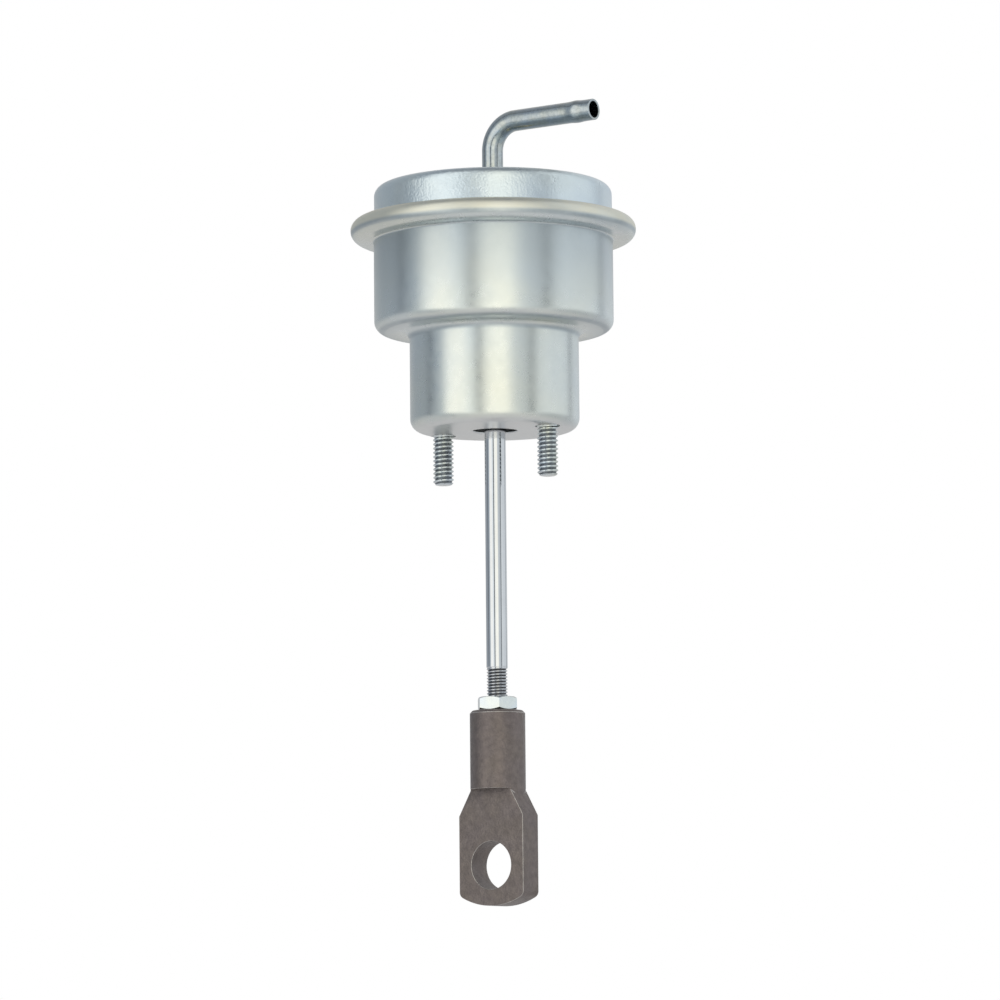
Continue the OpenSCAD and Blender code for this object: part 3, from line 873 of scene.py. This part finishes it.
@dataclass
class HosePipe:
    """Bent steel pipe with a hose bead and its braze fillet.

    Attributes:
        bead_back: Distance of the bead's middle from the mouth.
        bead_drop: How fast the bead drops away: the factor of the square in its bell curve.
        swell_mean: Mean size of the fillet, as a share of its largest.
        swells: Share, number in a turn and phase of each of its waves.
    """

    radius: float = 0.003175
    wall: float = 0.0007
    bend_r: float = 0.0085
    bead_back: float = 0.0060
    bead_h: float = 0.00020
    bead_w: float = 0.0026
    bead_drop: float = 2.5
    fillet: float = 0.0016
    fillet_gap: float = 0.00002
    swell_mean: float = 0.93
    swells: tuple[tuple[float, int, float], ...] = ((0.04, 3, 1), (0.03, 7, 0))
    steps: int = 64

    def path(self) -> Track:
        """Centre line in the XZ plane, from the foot inside the cover to the mouth."""
        low, high = node_low("hose_pipe"), node_high("hose_pipe")
        leg_z = mount("hose_stub")["pos_m"][2]
        track = Track(0, low.z, QUARTER).run(leg_z - self.bend_r - low.z, steps=12)
        return track.bend(self.bend_r, -QUARTER, steps=40).run(high.x - self.bend_r, steps=120)

    def skin(self) -> Array:
        """Outside of the pipe forward along its path, the mouth's lip, and the bore back again.

        The bead adds a bell curve of the distance from its middle. A ring lies square to the heading.
        """
        track = self.path()
        points, headings = track.points, track.headings
        mouth, leg_z = points[-1]
        bore = self.radius - self.wall
        away = (points[:-1, 0] - mouth + self.bead_back) / self.bead_w
        outside = self.radius + self.bead_h * np.exp(-self.bead_drop * away ** 2)
        half, quarter = self.wall / 2, self.wall / 4
        lip = np.linspace(0, math.pi, 7)
        lip_x = mouth - quarter + quarter * np.sin(lip)
        lip_r = bore + half + half * np.cos(lip)
        rim = np.stack([lip_x, np.full_like(lip, leg_z)], axis=1)
        centre = np.concatenate([points[:-1], rim, points[-2::-1]])
        heading = np.concatenate([headings[:-1], np.zeros_like(lip), headings[-2::-1]])[:, None]
        radius = np.concatenate([outside, lip_r, np.full_like(outside, bore)])[:, None]
        turn = full_turn(self.steps)[::-1]
        across = radius * np.cos(turn)
        return grid_of(centre[:, :1] - np.sin(heading) * across, radius * np.sin(turn),
                       centre[:, 1:] + np.cos(heading) * across)

    def braze(self) -> Array:
        """Hollow fillet round the pipe's foot, with a slightly uneven edge.

        The section is a quarter circle, and its size swells and shrinks with the angle by a few sine waves.
        """
        top, inner, turn = node_high("upper_cover").z, self.radius + self.fillet_gap, full_turn(self.steps)
        waves = sum(share * np.sin(count * turn + phase) for share, count, phase in self.swells)
        size = self.fillet * (self.swell_mean + waves)
        sweep = np.linspace(1.5 * math.pi, math.pi, 10)[:, None]
        radius = np.concatenate([[0 * turn], size * (1 + np.cos(sweep))]) + inner
        height = np.concatenate([[0 * turn], size * (1 + np.sin(sweep))]) + top
        return around(radius, height, turn)

    def build(self, dresser: Dresser) -> None:
        """Make and dress the pipe and its braze."""
        dresser.dress(make_piece("bent_pipe", self.skin()), "hose_pipe", Body.CAN)
        dresser.dress(make_piece("braze_fillet", self.braze()), "pipe_braze", Body.CAN)


@dataclass
class Stud(ThreadedBar):
    """Threaded stud that stands out of the can's floor.

    Attributes:
        ledge: Rise of the outline at a ledge, so that heights differ.
        thread_gap: Distance of the thread's top below the floor's inside.
    """

    pitch: float = 0.00127
    root: float = 0.002500
    rings: int = 12
    run_out: float = 1.5
    steps: int = 48
    neck_r: float = 0.0034
    floor_t: float = 0.0010
    head_r: float = 0.00475
    head_t: float = 0.0015
    ledge: float = 0.00002
    thread_gap: float = 0.0001

    def build(self, dresser: Dresser, node: str) -> None:
        """Make and dress the stud that stands for a node."""
        low, high = node_low(node), node_high(node)
        head_z = high.z - self.head_t
        rest = [(self.radius, self.floor_t), (self.neck_r, self.floor_t + self.ledge), (self.neck_r, head_z),
                (self.head_r, head_z + self.ledge), (self.head_r, high.z)]
        top = self.floor_t - self.thread_gap
        dresser.dress(self.make(node + "_threaded", low.z, top, rest, (low.x + high.x) / 2), node, Body.CAN)


@dataclass
class Rod(ThreadedBar):
    """Polished rod with a ball head and a fine thread at its lower end.

    Attributes:
        ball_top: Height angle at which the ball's outline ends, just short of its pole.
        plain: Length of plain rod drawn above the thread, before the straight run to the ball.
    """

    pitch: float = 0.000907
    root: float = 0.002640
    rings: int = 10
    run_out: float = 0.8
    steps: int = 64
    thread_top: float = -0.0709
    plain: float = 0.0005
    ball_r: float = 0.0050
    ball_top: float = 0.49 * math.pi

    def build(self, dresser: Dresser) -> None:
        """Make and dress the rod."""
        low, high = node_low("rod").z, node_high("rod").z
        sweep = np.linspace(-math.acos(self.radius / self.ball_r), self.ball_top, 32)
        rest = [(self.radius, self.thread_top + self.plain), *arc(0, high - self.ball_r, self.ball_r, sweep)]
        dresser.dress(self.make("polished_rod_threaded", low, self.thread_top, rest, 0.0), "rod", Body.ROD)


@dataclass
class LockNut:
    """Thin hexagon nut, chamfered on both faces.

    Attributes:
        chamfer_slope: Drop of the chamfer for its width.
        face_share: Radius of the flat face, as a share of the inscribed circle's.
    """

    across_flats: float = 0.01111
    bore_r: float = 0.003225
    angle: float = math.radians(10)
    chamfer_slope: float = math.tan(math.radians(30))
    face_share: float = 0.95
    countersink: float = 0.0005
    steps_per_flat: int = 16

    def build(self, dresser: Dresser) -> None:
        """Make and dress the nut.

        Round the nut the outer radius is half the width across flats over the cosine of the angle from the
        nearest flat's middle. Each face slopes away outside its flat round part.
        """
        low, high = node_low("lock_nut").z, node_high("lock_nut").z
        flat_r = self.across_flats / 2
        turn = full_turn(6 * self.steps_per_flat)
        outer = flat_r / np.cos(np.mod(turn, TURN / 6) - TURN / 12)
        face, bore = np.full_like(turn, flat_r * self.face_share), np.full_like(turn, self.bore_r)
        drop = (outer - face) * self.chamfer_slope
        rise = np.stack([self.countersink + 0 * turn, 0 * turn, 0 * turn, drop])
        half = np.stack([bore, bore + self.countersink, face, outer])
        grid = around(np.concatenate([half, half[::-1]]), np.concatenate([low + rise, (high - rise)[::-1]]),
                      turn + self.angle)
        dresser.dress(make_piece("hex_nut", grid), "lock_nut", Body.NUT)


@dataclass
class RodEnd:
    """Threaded round neck, cut below its ledge to a flat block with an eye.

    Attributes:
        root_h: Height by which the block's top reaches into the neck.
        tap_run: Depth of the bore below the rod's end.
        eye_room: Least distance of the bore's end below the ledge.
    """

    neck_r: float = 0.00825
    neck_len: float = 0.0234
    rim: float = 0.0008
    block_t: float = 0.0080
    shoulder_h: float = 0.0076
    root_h: float = 0.0006
    end_r: float = 0.0230
    corner_r: float = 0.0020
    bore_r: float = 0.003225
    tap_run: float = 0.0030
    eye_room: float = 0.0020
    edge: float = 0.00030
    neck_steps: int = 80
    steps: int = 128

    @property
    def ledge_z(self) -> float:
        """Height of the ledge between neck and block."""
        return node_high("rod_end").z - self.neck_len

    def outline(self) -> Array:
        """Outline of the block seen from the front, anticlockwise from the left shoulder's top.

        Its round parts are circles: the centre plus the radius times the cosine and sine of the angle.
        """
        half_w, foot, ledge = node_high("rod_end").x, node_low("rod_end").z, self.ledge_z
        arc_z, corner_x = foot + self.end_r, half_w - self.corner_r
        corner_z = arc_z - math.sqrt((self.end_r - self.corner_r) ** 2 - corner_x ** 2)
        touch = math.atan2(arc_z - corner_z, corner_x)
        ledge_x = math.sqrt(self.neck_r ** 2 - self.block_t ** 2 / 4)
        top_x = ledge_x - (half_w - ledge_x) / self.shoulder_h * self.root_h
        top, shoulder = ledge + self.root_h / 2, ledge - self.shoulder_h - self.root_h / 2
        return np.concatenate([
            [(-top_x, top), (-half_w, shoulder)],
            arc(-corner_x, corner_z, self.corner_r, np.linspace(math.pi, math.pi + touch, 10)),
            arc(0, arc_z, self.end_r, np.linspace(math.pi + touch, TURN - touch, 42)[1:-1]),
            arc(corner_x, corner_z, self.corner_r, np.linspace(TURN - touch, TURN, 10)),
            [(half_w, shoulder), (top_x, top)],
        ])

    def build(self, dresser: Dresser) -> None:
        """Make and dress the rod end. Its edges are chamfered, and the chamfers are where the coat wears."""
        high, ledge, half = node_high("rod_end").z, self.ledge_z, self.block_t / 2
        side, low = 2 * self.neck_r, ledge - self.shoulder_h
        eye, eye_z = mount("eye")["dims"]["r_mm"] * MM, mount("eye")["pos_m"][2]
        outline = np.array([[self.neck_r, ledge - self.shoulder_h / 2], [self.neck_r, high - self.rim],
                            [self.neck_r - self.rim, high]])
        piece = make_piece("flat_eye_end", revolve(outline, self.neck_steps), closed=False)
        flank = np.array([(-side, low), (side, low), (side, ledge), (-side, ledge)])
        carve(piece, [slab(flank, side, half), slab(flank, -half, -side)])
        carve(piece, [slab(self.outline(), half, -half)], "UNION")
        bore_end = min(node_low("rod").z - self.tap_run, ledge - self.eye_room)
        bore = post(self.bore_r, bore_end, high + self.rim)
        carve(piece, [bore, slab(arc(0, eye_z, eye, full_turn(self.steps)), self.block_t, -self.block_t)])
        wear_edges(piece, self.edge, (ledge - 2 * self.edge, ledge))
        dresser.dress(piece, "rod_end", Body.ROD_END)


@dataclass
class Diaphragm:
    """Rolling diaphragm: edge bead in the rim, down the can's wall, round the fold and over the crown.

    Attributes:
        wall_gap: Gap between the can's wall and the cloth's middle.
        web_z: Height of the cloth's middle in the rim.
    """

    can: Can = Can()
    thickness: float = 0.00055
    wall_gap: float = 0.0003
    roll_r: float = 0.0032
    bead_r: float = 0.0021
    bead_top: float = 0.0621
    web_z: float = 0.0590
    fold_z: float = 0.0520
    crown_mid: float = 0.0643
    edge_r: float = 0.0028
    edge_x: float = 0.0270
    hub_r: float = 0.00805
    steps: int = 160

    def outline(self) -> Array:
        """Section of the diaphragm: both sides of the cloth's middle line, and the bead's two arcs."""
        can = self.can
        roll_x, roll_z = node_high("lower_can").x - self.roll_r, can.rim_z + self.roll_r
        upper = self.web_z + self.thickness / 2 - roll_z
        start_x = roll_x - math.sqrt(self.bead_r ** 2 - upper ** 2)
        wall_bend = can.rim_bend + can.sheet + self.wall_gap
        wall_x = can.large_r + can.rim_bend - wall_bend
        fold_r = (wall_x - self.edge_x - self.edge_r) / 2
        track = Track(start_x, self.web_z, math.pi).run(start_x - can.large_r - can.rim_bend)
        track.bend(wall_bend, QUARTER, steps=8).run(can.rim_z - can.rim_bend - self.fold_z, steps=6)
        track.bend(fold_r, -math.pi, steps=24).run(self.crown_mid - self.edge_r - self.fold_z, steps=6)
        track.bend(self.edge_r, QUARTER, steps=8).run(self.edge_x - self.hub_r)
        cloth = ribbon(track, self.thickness)[:1 - END_STEPS]
        cut = math.asin((self.bead_top - roll_z) / self.bead_r)
        last = math.pi + math.asin(-upper / self.bead_r)
        sweep = np.concatenate([np.linspace(-QUARTER, cut, 16), np.linspace(math.pi - cut, last, 10)[:-1]])
        return np.concatenate([cloth, arc(roll_x, roll_z, self.bead_r, sweep)])

    def build(self, dresser: Dresser) -> None:
        """Make the diaphragm and give it its finish.
        """
        piece = make_piece("rolling_diaphragm", revolve(self.outline(), self.steps))
        dresser.finish(piece, "diaphragm")
        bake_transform(piece)
        radius, height = radius_and_height(piece)


@dataclass
class Mechanism:
    """Return spring, and the clamped stack inside the can.

    Attributes:
        tip: Height of the wire's middle above the ground end.
        spring_keep: Share of its length that the spring keeps at full stroke; not used.
    """

    wire_r: float = 0.0016
    coil_r: float = 0.0205
    closed_pitch: float = 0.0033
    turns: int = 7
    tip: float = 0.0004
    steps_per_turn: int = 64
    sides: int = 20
    spring_keep: float = 0.7935
    shown_nodes: tuple[str, ...] = (
        "stud_plate", "spring_seat", "piston", "spring_guide", "diaphragm_retainer", "rivet_washer",
        "rod_socket", "socket_plug", "plug_seal",
    )

    def spring(self) -> Array:
        """Round wire along a coil: closed end turns, open turns between, and both ends ground flat.

        The height of the wire's centre rises by the closed pitch in the first and last turn, and evenly
        between. The ring lies in the plane through the axis, and the heights are clipped to the ends.
        """
        low = node_low("return_spring").z
        length = node_high("return_spring").z - low
        turn = np.linspace(0, self.turns, self.turns * self.steps_per_turn + 1)[:, None]
        foot = self.tip + self.closed_pitch
        rise = [self.tip, foot, length - foot, length - self.tip]
        middle = np.interp(turn, [0, 1, self.turns - 1, self.turns], rise)
        side = full_turn(self.sides)[::-1]
        height = np.clip(middle + self.wire_r * np.sin(side), 0, length)
        return around(self.coil_r + self.wire_r * np.cos(side), low + height, TURN * turn)

    def build(self, dresser: Dresser) -> None:
        """Make the spring, and dress what stays as CAD nodes."""
        spring = make_piece("coil_spring", self.spring(), closed=False)
        dresser.dress(spring, "return_spring", Body.CAN)
        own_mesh(spring)
        for node in self.shown_nodes:
            dresser.dress_node(node)


def standing(azimuth: float, distance: float, height: float) -> Vector:
    """Point at an azimuth, anticlockwise from -Y as seen from above, and a distance from the Z axis."""
    return Vector((distance * math.sin(azimuth), -distance * math.cos(azimuth), height))


@dataclass(frozen=True)
class Lamp:
    """Soft rectangular lamp, turned to the can.

    Attributes:
        bearing: Degrees round from the camera, to the right.
        distance: Distance from the rod's axis.
        height: Height of its middle.
        radiance: Brightness of its face, where 1 is white.
    """

    name: str
    bearing: float
    distance: float
    height: float
    size: tuple[float, float]
    radiance: float
    color: Rgb

    def hang(self, azimuth: float) -> None:
        """Put the lamp into the scene, round from a camera at that azimuth. No glossy ray sees it."""
        data = bpy.data.lights.new(self.name, "AREA")
        data.shape = "RECTANGLE"
        data.size, data.size_y = self.size
        data.energy = self.radiance * math.pi * self.size[0] * self.size[1]
        data.color = self.color
        lit = place(self.name, data)
        lit.location = standing(azimuth + math.radians(self.bearing), self.distance, self.height)
        lit.rotation_euler = (-lit.location).to_track_quat("-Z", "Y").to_euler()
        lit.visible_camera = lit.visible_glossy = False


@dataclass(frozen=True)
class Tent:
    """Grey dome round the part, seen only in its metal, lighter where its soft boxes stand.

    Height angles are in degrees above the horizon.

    Attributes:
        walls: Bearing of each stop round the walls, in degrees to the right of the camera, and its colour.
        lows: The same for the colour under the walls.
        front_fade: Share that the front wall loses.
        fade_heights: Height angles at which that loss starts and is full.
        front_power: Power of the cosine of half the bearing that says how far a place counts as front.
        nadir: Colour straight under the part.
        side_heights: Height angles between which the side walls turn to the colour under them.
        front_heights: Height angles between which the front wall turns to the colour under it.
        zenith: Colour over the part.
        top_heights: Height angles between which the walls turn to the colour over them.
        last_height: Height angle of the last row, at either pole.
        steps: Columns and rows of the mesh.
    """

    radius: float = 1.8
    walls: tuple[tuple[float, float, float, float], ...] = (
        (-180, 0.60, 0.60, 0.60), (-130, 0.37, 0.41, 0.45), (-104, 0.36, 0.40, 0.44),
        (-100, 0.16, 0.18, 0.20), (-94, 0.16, 0.18, 0.20), (-90, 0.38, 0.43, 0.48),
        (-80, 0.40, 0.46, 0.52), (-75, 0.54, 0.60, 0.64),
        (-66, 1.24, 1.25, 1.20), (-44, 1.28, 1.28, 1.22), (-36, 1.06, 1.12, 1.14), (-27, 1.00, 1.07, 1.09),
        (-24, 0.12, 0.13, 0.14), (-18, 0.12, 0.13, 0.14), (-15, 1.06, 1.10, 1.07), (-6, 1.32, 1.31, 1.20),
        (15, 1.38, 1.36, 1.22), (24, 0.84, 0.88, 0.88), (32, 0.66, 0.71, 0.74), (46, 0.68, 0.73, 0.76),
        (49, 0.20, 0.22, 0.23), (55, 0.20, 0.22, 0.23), (58, 0.84, 0.89, 0.91), (72, 0.86, 0.91, 0.93),
        (90, 0.80, 0.85, 0.88), (112, 0.80, 0.85, 0.88), (118, 0.76, 0.81, 0.84), (121, 0.30, 0.32, 0.34),
        (127, 0.30, 0.32, 0.34), (130, 0.76, 0.80, 0.83), (145, 0.70, 0.74, 0.77), (180, 0.60, 0.60, 0.60),
    )
    lows: tuple[tuple[float, float, float, float], ...] = (
        (-180, 0.60, 0.60, 0.60), (-100, 0.60, 0.61, 0.62), (-82, 0.50, 0.54, 0.57), (-70, 0.42, 0.47, 0.51),
        (-55, 0.66, 0.70, 0.72), (-30, 0.88, 0.90, 0.88), (0, 0.92, 0.92, 0.86), (30, 0.84, 0.85, 0.82),
        (60, 0.66, 0.69, 0.71), (90, 0.48, 0.52, 0.55), (130, 0.52, 0.54, 0.56), (180, 0.60, 0.60, 0.60),
    )
    front_fade: float = 0.16
    fade_heights: tuple[float, float] = (9, 23)
    front_power: int = 8
    nadir: Rgb = (0.48, 0.49, 0.50)
    side_heights: tuple[float, float] = (2, -22)
    front_heights: tuple[float, float] = (-24, -70)
    zenith: Rgb = (0.24, 0.26, 0.28)
    top_heights: tuple[float, float] = (50, 72)
    last_height: float = 89.5
    steps: tuple[int, int] = (360, 90)

    def colors(self, bearing: Array, height: Array) -> Array:
        """Colour at each bearing and height angle.

        The front wall dims a little higher up. The colour goes by soft steps from the walls' to those under
        and over them. The power of the cosine of half the bearing is the front's share in the dimming and in
        the place of the lower step. The cosine of the height angle is the lows' share against the nadir's.

        Args:
            bearing: Degrees round from the camera, to the right.
            height: Height angles.

        Returns:
            Red, green and blue, along a last axis.
        """
        wall, low = between(self.walls, bearing), between(self.lows, bearing)
        low = blend(self.nadir, low, np.cos(np.radians(height))[..., None])
        front = (np.cos(np.radians(bearing) / 2) ** self.front_power)[..., None]
        wall = wall * (1 - self.front_fade * front * ramp(height, *self.fade_heights)[..., None])
        start, end = np.moveaxis(blend(self.side_heights, self.front_heights, front), -1, 0)
        wall = blend(wall, low, ramp(height, start, end)[..., None])
        return blend(wall, self.zenith, ramp(height, *self.top_heights)[..., None])

    def hang(self, azimuth: float) -> None:
        """Build the dome, round from a camera at that azimuth: points on a sphere, each with its colour."""
        columns, rows = self.steps
        bearing, height = np.meshgrid(np.linspace(-180, 180, columns, endpoint=False),
                                      np.linspace(-self.last_height, self.last_height, rows))
        turn, rise = np.radians(bearing) + azimuth - QUARTER, np.radians(height)
        tent = make_piece("light_tent", self.radius * around(np.cos(rise), np.sin(rise), turn), closed=False)
        colors = self.colors(bearing, height).reshape(-1, 3)
        layer = tent.data.attributes.new("shade", "FLOAT_COLOR", "POINT")
        layer.data.foreach_set("color", np.concatenate([colors, np.ones((len(colors), 1))], axis=1).ravel())
        material, tree, shader = new_material("tent_cloth")
        shade = add_node(tree, "ShaderNodeAttribute", attribute_name="shade").outputs["Color"]
        feed(tree, shader, {"Emission Color": shade, "Emission Strength": 1, "Base Color": (0, 0, 0, 1),
                            "Specular IOR Level": 0})
        tent.data.materials.append(material)
        tent.visible_camera = tent.visible_shadow = tent.visible_diffuse = False


@dataclass
class Studio:
    """Camera, floor, world and lamps.

    Attributes:
        clip: Nearest and furthest distance that the camera sees.
        ambient: Light of the world on matt surfaces.
        floor_fade: Shares of its radius at which the floor is gone and is solid.
        floor_steps: Rings of the floor, and steps round it.
    """

    azimuth: float = math.radians(34.895)
    distance: float = 1.4
    height: float = -0.183
    clip: tuple[float, float] = (0.01, 50)
    focal_px: float = 4707.9
    frame_px: float = 1000.0
    sensor: float = 36.0
    pitch: float = math.radians(6.612)
    yaw: float = math.radians(-0.054)
    roll: float = math.radians(-0.515)
    ambient: Rgb = (0.45, 0.46, 0.48)
    floor_color: Rgb = (0.9, 0.9, 0.9)
    floor_z: float = -0.30
    floor_r: float = 0.50
    floor_fade: tuple[float, float] = (0.99, 0.45)
    floor_steps: tuple[int, int] = (24, 96)
    lamps: tuple[Lamp, ...] = (
        Lamp("left_softbox", -54, 1.4, 0.10, (0.80, 1.4), 1.12, (1.0, 0.99, 0.93)),
        Lamp("right_softbox", 85, 1.4, 0.10, (0.80, 1.4), 1.50, (1.0, 0.97, 0.92)),
        Lamp("front_softbox", 2, 1.5, 0.10, (0.95, 1.4), 1.20, (1.0, 0.97, 0.90)),
        Lamp("top_softbox", -20, 0.3, 1.5, (1.2, 1.2), 1.00, (1.0, 1.0, 1.0)),
    )
    tent: Tent = Tent()

    def camera(self) -> None:
        """Place the camera as it stood for the photograph."""
        data = bpy.data.cameras.new("camera")
        data.sensor_width = self.sensor
        data.lens = self.focal_px / self.frame_px * self.sensor
        data.clip_start, data.clip_end = self.clip
        camera = place("camera", data)
        camera.location = standing(self.azimuth, self.distance, self.height)
        turn = Euler((QUARTER + self.pitch, 0, self.azimuth + self.yaw)).to_matrix()
        camera.rotation_euler = (turn @ Matrix.Rotation(self.roll, 3, "Z")).to_euler()
        bpy.context.scene.camera = camera

    def world(self) -> None:
        """White to the camera and in metal, and a dimmer grey as light on matt surfaces."""
        world = bpy.data.worlds.new("studio")
        bpy.context.scene.world = world
        world.use_nodes = True
        tree = world.node_tree
        path = add_node(tree, "ShaderNodeLightPath").outputs
        seen = math_node(tree, "MAXIMUM", path["Is Camera Ray"], path["Is Glossy Ray"])
        seen = math_node(tree, "MAXIMUM", seen, path["Is Transmission Ray"])
        color = mix_color(tree, seen, (*self.ambient, 1), (1, 1, 1, 1))
        feed(tree, tree.nodes["Background"], {"Color": color})

    def floor(self) -> None:
        """Pale round floor below the part, fading to the background at its edge, and clear from below."""
        rings, steps = self.floor_steps
        radii = np.linspace(MM, self.floor_r, rings)
        grid = revolve(np.stack([radii, np.full_like(radii, self.floor_z)], axis=1), steps)
        faces = grid_faces(rings, steps, False)[:, ::-1].tolist() + [list(range(steps))]
        floor = link_mesh("floor", grid.reshape(-1, 3), faces)
        material, tree, shader = new_material("pale_floor")
        where = add_node(tree, "ShaderNodeTexCoord").outputs["Object"]
        inputs = {0: where, 1: (0, 0, self.floor_z)}
        radius = add_node(tree, "ShaderNodeVectorMath", inputs, operation="DISTANCE").outputs["Value"]
        gone, solid = self.floor_fade
        fade = spread(tree, radius, self.floor_r * gone, self.floor_r * solid)
        under = add_node(tree, "ShaderNodeNewGeometry").outputs["Backfacing"]
        alpha = math_node(tree, "MULTIPLY", fade, math_node(tree, "SUBTRACT", 1.0, under))
        feed(tree, shader, {"Base Color": (*self.floor_color, 1), "Roughness": 0.8, "Alpha": alpha})
        floor.data.materials.append(material)

    def build(self) -> None:
        """Set up the whole studio."""
        bpy.context.scene.view_settings.view_transform = "Standard"
        self.camera()
        for lamp in self.lamps:
            lamp.hang(self.azimuth)
        self.world()
        self.floor()
        self.tent.hang(self.azimuth)


def main() -> None:
    """Build every sub-assembly, then the studio."""
    logging.basicConfig(level=logging.INFO, format="%(message)s")
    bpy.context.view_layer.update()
    dresser = Dresser()
    Can().build(dresser)
    HosePipe().build(dresser)
    for node in ("mounting_stud_1", "mounting_stud_2"):
        Stud().build(dresser, node)
    Rod().build(dresser)
    LockNut().build(dresser)
    RodEnd().build(dresser)
    Diaphragm().build(dresser)
    Mechanism().build(dresser)
    Studio().build()


if __name__ == "__main__":
    main()
